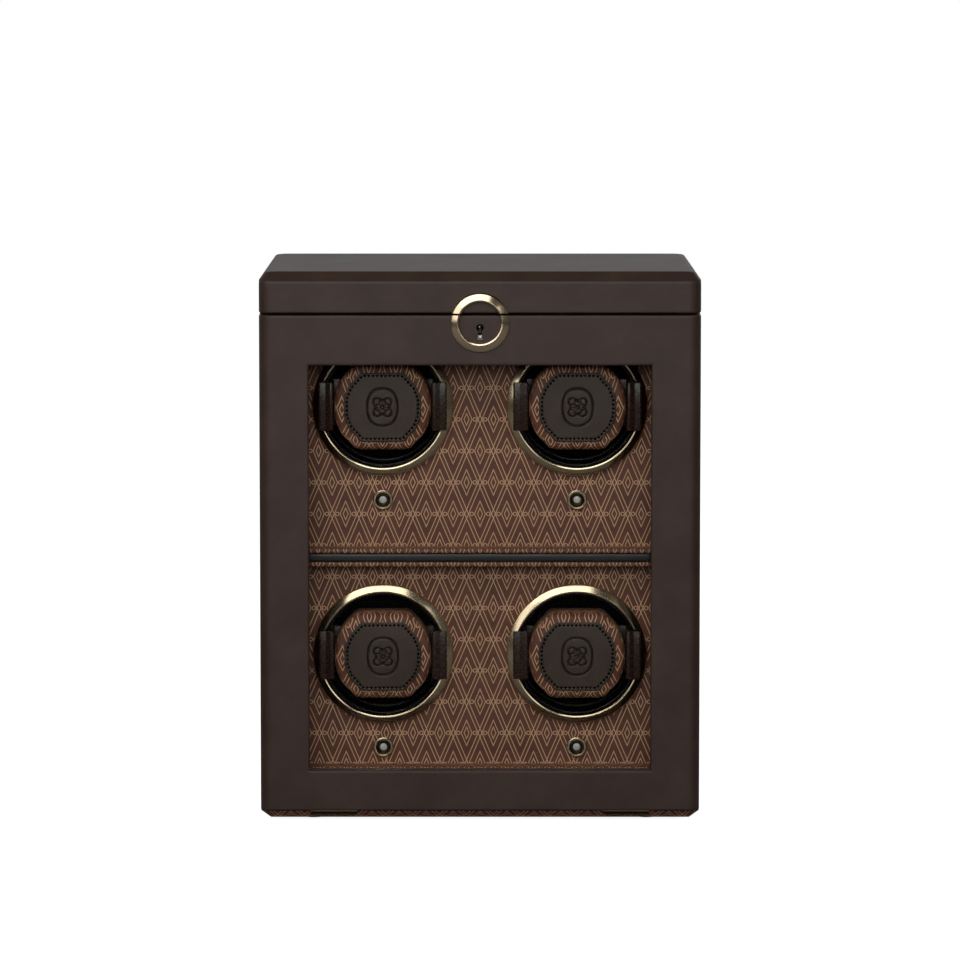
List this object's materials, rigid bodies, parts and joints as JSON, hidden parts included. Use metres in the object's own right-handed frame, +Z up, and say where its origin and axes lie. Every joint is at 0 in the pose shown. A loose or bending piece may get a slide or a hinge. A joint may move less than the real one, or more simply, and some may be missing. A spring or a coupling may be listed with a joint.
{
  "type": "watch winder box",
  "caption": "Leather-covered watch winder cabinet with a glazed drop-down door, a hinged lid, and motor-driven cups with padded cuffs in a patterned lining.",
  "frame": {"origin": "on the surface the feet stand on, under the middle of the box", "axes": "+X to the right seen from the front, +Y from the glazed front to the back, +Z up"},
  "size_m": [0.286, 0.2245, 0.36],
  "materials": {
    "dark_leather": "smooth, semi-matt",
    "patterned_canvas": "printed coated canvas",
    "birch_board": "plain board",
    "black_lacquer": "satin lacquer",
    "champagne_metal": "polished",
    "bronze": "satin",
    "steel": "brushed",
    "black_plastic": "gloss",
    "brown_plastic": "semi-gloss",
    "button_plastic": "translucent",
    "clear_glass": "clear",
    "foot_rubber": "matt",
    "belt_rubber": "matt",
    "circuit_board": "solder mask"
  },
  "bodies": {
    "cabinet": {"rubber_feet": "foot_rubber", "base_plinth": "patterned_canvas", "base_board": "birch_board", "left_side_board": "birch_board", "right_side_board": "birch_board", "back_board": "birch_board", "cabinet_leather": "dark_leather", "shelf_board": "black_lacquer", "top_deck": "patterned_canvas", "upper_lining": "patterned_canvas", "lower_lining": "patterned_canvas", "upper_module_panel": "patterned_canvas", "lower_module_panel": "patterned_canvas", "upper_motor_plate": "steel", "lower_motor_plate": "steel", "cup_bezels": "champagne_metal", "switch_housings": "champagne_metal", "gear_motors": "steel", "drum_bearings": "bronze", "drive_belts": "belt_rubber", "control_board": "circuit_board", "power_inlet": "black_plastic", "cabinet_hinge_leaves": "bronze", "lid_hinge_pins": "bronze", "sill_hinge_leaves": "bronze", "door_hinge_pins": "bronze"},
    "lid": {"lid_board": "birch_board", "lid_leather": "dark_leather", "lid_lining": "patterned_canvas", "lid_lock_ring": "champagne_metal", "lock_keeper": "bronze", "lid_hinge_leaves": "bronze"},
    "door": {"door_frame": "birch_board", "door_leather": "dark_leather", "door_glass": "clear_glass", "glass_bead": "black_lacquer", "door_lock_ring": "champagne_metal", "lock_case": "steel", "door_hinge_leaves": "bronze"},
    "lock": {"lock_plug": "steel"},
    "drum_upper_left": {"drum_upper_left": "black_plastic"},
    "motor_pulley_upper_left": {"motor_pulley_upper_left": "steel"},
    "cuff_upper_left": {"cuff_frame_upper_left": "brown_plastic", "cuff_pad_upper_left": "patterned_canvas"},
    "button_upper_left": {"button_upper_left": "button_plastic"},
    "drum_upper_right": {"drum_upper_right": "black_plastic"},
    "motor_pulley_upper_right": {"motor_pulley_upper_right": "steel"},
    "cuff_upper_right": {"cuff_frame_upper_right": "brown_plastic", "cuff_pad_upper_right": "patterned_canvas"},
    "button_upper_right": {"button_upper_right": "button_plastic"},
    "drum_lower_left": {"drum_lower_left": "black_plastic"},
    "motor_pulley_lower_left": {"motor_pulley_lower_left": "steel"},
    "cuff_lower_left": {"cuff_frame_lower_left": "brown_plastic", "cuff_pad_lower_left": "patterned_canvas"},
    "button_lower_left": {"button_lower_left": "button_plastic"},
    "drum_lower_right": {"drum_lower_right": "black_plastic"},
    "motor_pulley_lower_right": {"motor_pulley_lower_right": "steel"},
    "cuff_lower_right": {"cuff_frame_lower_right": "brown_plastic", "cuff_pad_lower_right": "patterned_canvas"},
    "button_lower_right": {"button_lower_right": "button_plastic"}
  },
  "joints": [
    {"name": "lid_hinge", "type": "hinge", "parent": "cabinet", "child": "lid", "pos_m": [0, 0.1105, 0.33265], "axis": [-1, 0, 0], "range_deg": [0, 95]},
    {"name": "door_hinge", "type": "hinge", "parent": "cabinet", "child": "door", "pos_m": [0, -0.1045, 0.008], "axis": [1, 0, 0], "range_deg": [0, 90]},
    {"name": "lock_turn", "type": "hinge", "parent": "door", "child": "lock", "pos_m": [0, -0.097, 0.3239], "axis": [0, -1, 0], "range_deg": [0, 90]},
    {"name": "drum_spin_upper_left", "type": "hinge", "parent": "cabinet", "child": "drum_upper_left", "pos_m": [-0.0635, -0.04, 0.2705], "axis": [0, 1, 0], "continuous": true},
    {"name": "motor_spin_upper_left", "type": "hinge", "parent": "cabinet", "child": "motor_pulley_upper_left", "pos_m": [-0.0635, -0.005, 0.2365], "axis": [0, 1, 0], "continuous": true},
    {"name": "cuff_pull_upper_left", "type": "slide", "parent": "drum_upper_left", "child": "cuff_upper_left", "axis": [0, -1, 0], "range_m": [0, 0.006]},
    {"name": "button_press_upper_left", "type": "slide", "parent": "cabinet", "child": "button_upper_left", "axis": [0, 1, 0], "range_m": [0, 0.001], "stiffness_N_per_m": 200, "springref_m": -0.002},
    {"name": "drum_spin_upper_right", "type": "hinge", "parent": "cabinet", "child": "drum_upper_right", "pos_m": [0.0635, -0.04, 0.2705], "axis": [0, 1, 0], "continuous": true},
    {"name": "motor_spin_upper_right", "type": "hinge", "parent": "cabinet", "child": "motor_pulley_upper_right", "pos_m": [0.0635, -0.005, 0.2365], "axis": [0, 1, 0], "continuous": true},
    {"name": "cuff_pull_upper_right", "type": "slide", "parent": "drum_upper_right", "child": "cuff_upper_right", "axis": [0, -1, 0], "range_m": [0, 0.006]},
    {"name": "button_press_upper_right", "type": "slide", "parent": "cabinet", "child": "button_upper_right", "axis": [0, 1, 0], "range_m": [0, 0.001], "stiffness_N_per_m": 200, "springref_m": -0.002},
    {"name": "drum_spin_lower_left", "type": "hinge", "parent": "cabinet", "child": "drum_lower_left", "pos_m": [-0.0635, -0.04, 0.107], "axis": [0, 1, 0], "continuous": true},
    {"name": "motor_spin_lower_left", "type": "hinge", "parent": "cabinet", "child": "motor_pulley_lower_left", "pos_m": [-0.0635, -0.005, 0.073], "axis": [0, 1, 0], "continuous": true},
    {"name": "cuff_pull_lower_left", "type": "slide", "parent": "drum_lower_left", "child": "cuff_lower_left", "axis": [0, -1, 0], "range_m": [0, 0.006]},
    {"name": "button_press_lower_left", "type": "slide", "parent": "cabinet", "child": "button_lower_left", "axis": [0, 1, 0], "range_m": [0, 0.001], "stiffness_N_per_m": 200, "springref_m": -0.002},
    {"name": "drum_spin_lower_right", "type": "hinge", "parent": "cabinet", "child": "drum_lower_right", "pos_m": [0.0635, -0.04, 0.107], "axis": [0, 1, 0], "continuous": true},
    {"name": "motor_spin_lower_right", "type": "hinge", "parent": "cabinet", "child": "motor_pulley_lower_right", "pos_m": [0.0635, -0.005, 0.073], "axis": [0, 1, 0], "continuous": true},
    {"name": "cuff_pull_lower_right", "type": "slide", "parent": "drum_lower_right", "child": "cuff_lower_right", "axis": [0, -1, 0], "range_m": [0, 0.006]},
    {"name": "button_press_lower_right", "type": "slide", "parent": "cabinet", "child": "button_lower_right", "axis": [0, 1, 0], "range_m": [0, 0.001], "stiffness_N_per_m": 200, "springref_m": -0.002}
  ],
  "couplings": [
    {"joint": "motor_spin_upper_left", "follows": "drum_spin_upper_left", "ratio": 3},
    {"joint": "motor_spin_upper_right", "follows": "drum_spin_upper_right", "ratio": 3},
    {"joint": "motor_spin_lower_left", "follows": "drum_spin_lower_left", "ratio": 3},
    {"joint": "motor_spin_lower_right", "follows": "drum_spin_lower_right", "ratio": 3}
  ]
}
